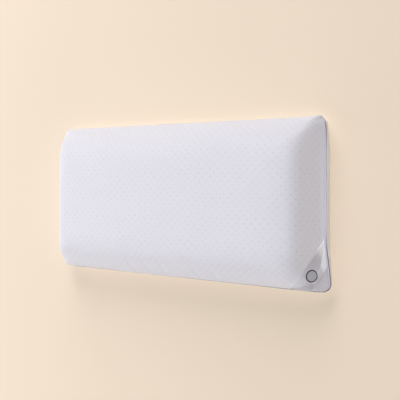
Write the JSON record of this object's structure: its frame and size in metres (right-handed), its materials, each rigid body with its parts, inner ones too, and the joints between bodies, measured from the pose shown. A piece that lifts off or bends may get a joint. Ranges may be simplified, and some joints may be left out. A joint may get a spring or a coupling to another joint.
{
  "type": "cervical pillow",
  "caption": "Filled oblong neck pillow with a dotted knit face, plain side band, satin piping, a slanting corner ribbon and a small bare badge.",
  "frame": {"origin": "centre of the flat back, on the surface that the pillow lies on", "axes": "+X along the length towards the end with the ribbon, +Y across the width away from the ribbon's side, +Z from the back to the face"},
  "size_m": [0.6096, 0.3032, 0.0868],
  "materials": {
    "knit": "soft dotted knit",
    "band_cloth": "plain matt cloth",
    "piping_satin": "satin",
    "ribbon_satin": "satin",
    "badge_felt": "dense stitched cloth"
  },
  "bodies": {
    "root": {"pillow_body": "knit", "side_band": "band_cloth", "seam_piping": "piping_satin", "corner_ribbon": "ribbon_satin", "badge": "badge_felt"}
  },
  "joints": []
}
